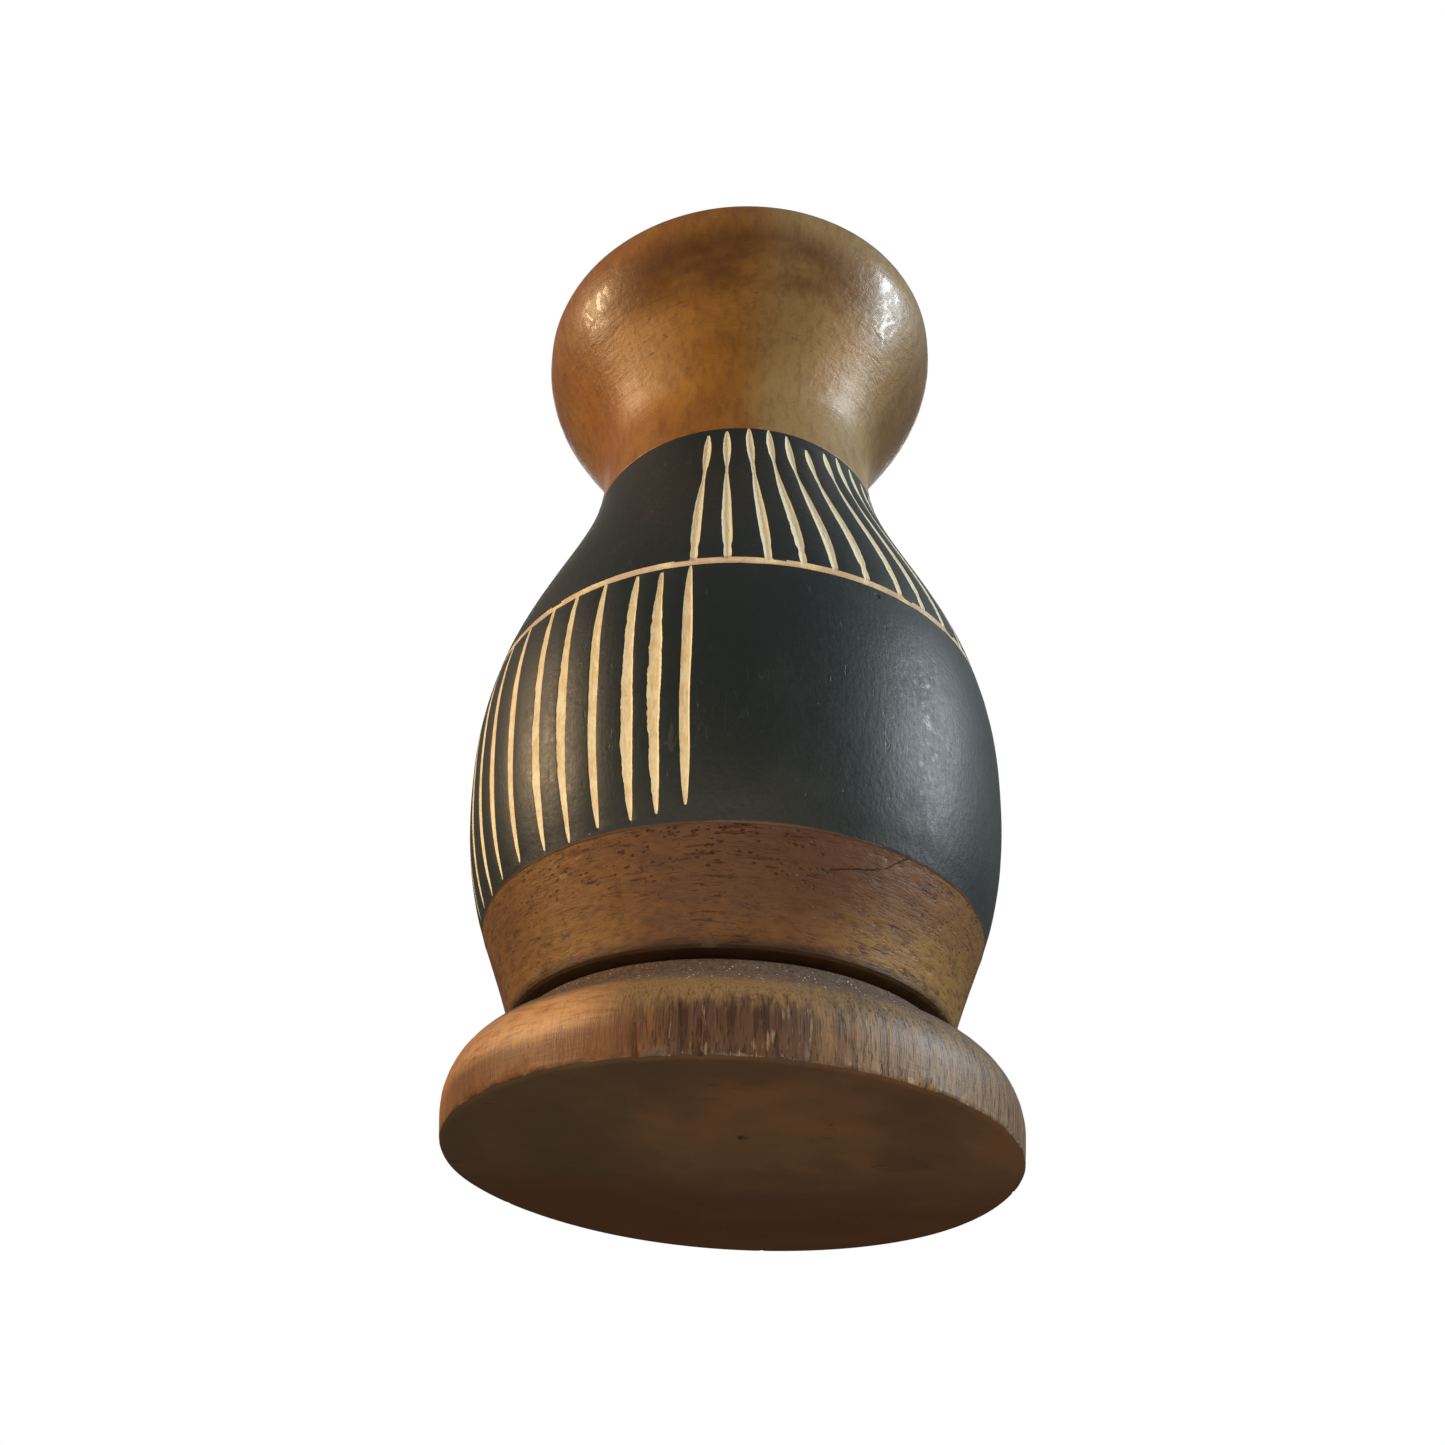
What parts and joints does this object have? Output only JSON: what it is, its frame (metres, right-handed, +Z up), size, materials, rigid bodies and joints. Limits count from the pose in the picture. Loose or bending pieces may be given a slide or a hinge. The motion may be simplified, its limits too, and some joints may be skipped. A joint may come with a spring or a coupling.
{
  "type": "carved wooden vase",
  "caption": "Turned hollow wooden vase on a round foot, with a flared cup mouth and a black belt of carved lines in opposite quarters.",
  "frame": {"origin": "centre of the foot's underside, on the vase's own axis", "axes": "+Z up along the turning axis, from the foot to the mouth; -Y is the front, which the first carved lines face"},
  "size_m": [0.1048, 0.1048, 0.208],
  "materials": {
    "foot_wood": "oiled brown stain, worn and streaked grey, with a bare speckled collar",
    "base_wood": "red-brown stain with open pores and turning scratches",
    "black_finish": "satin black stain, cut through to pale bare wood in the carved lines",
    "mouth_wood": "satin lacquer over a mottled golden-brown stain"
  },
  "bodies": {
    "root": {"foot": "foot_wood", "base": "base_wood", "belly": "black_finish", "shoulder": "black_finish", "mouth": "mouth_wood"}
  },
  "joints": []
}
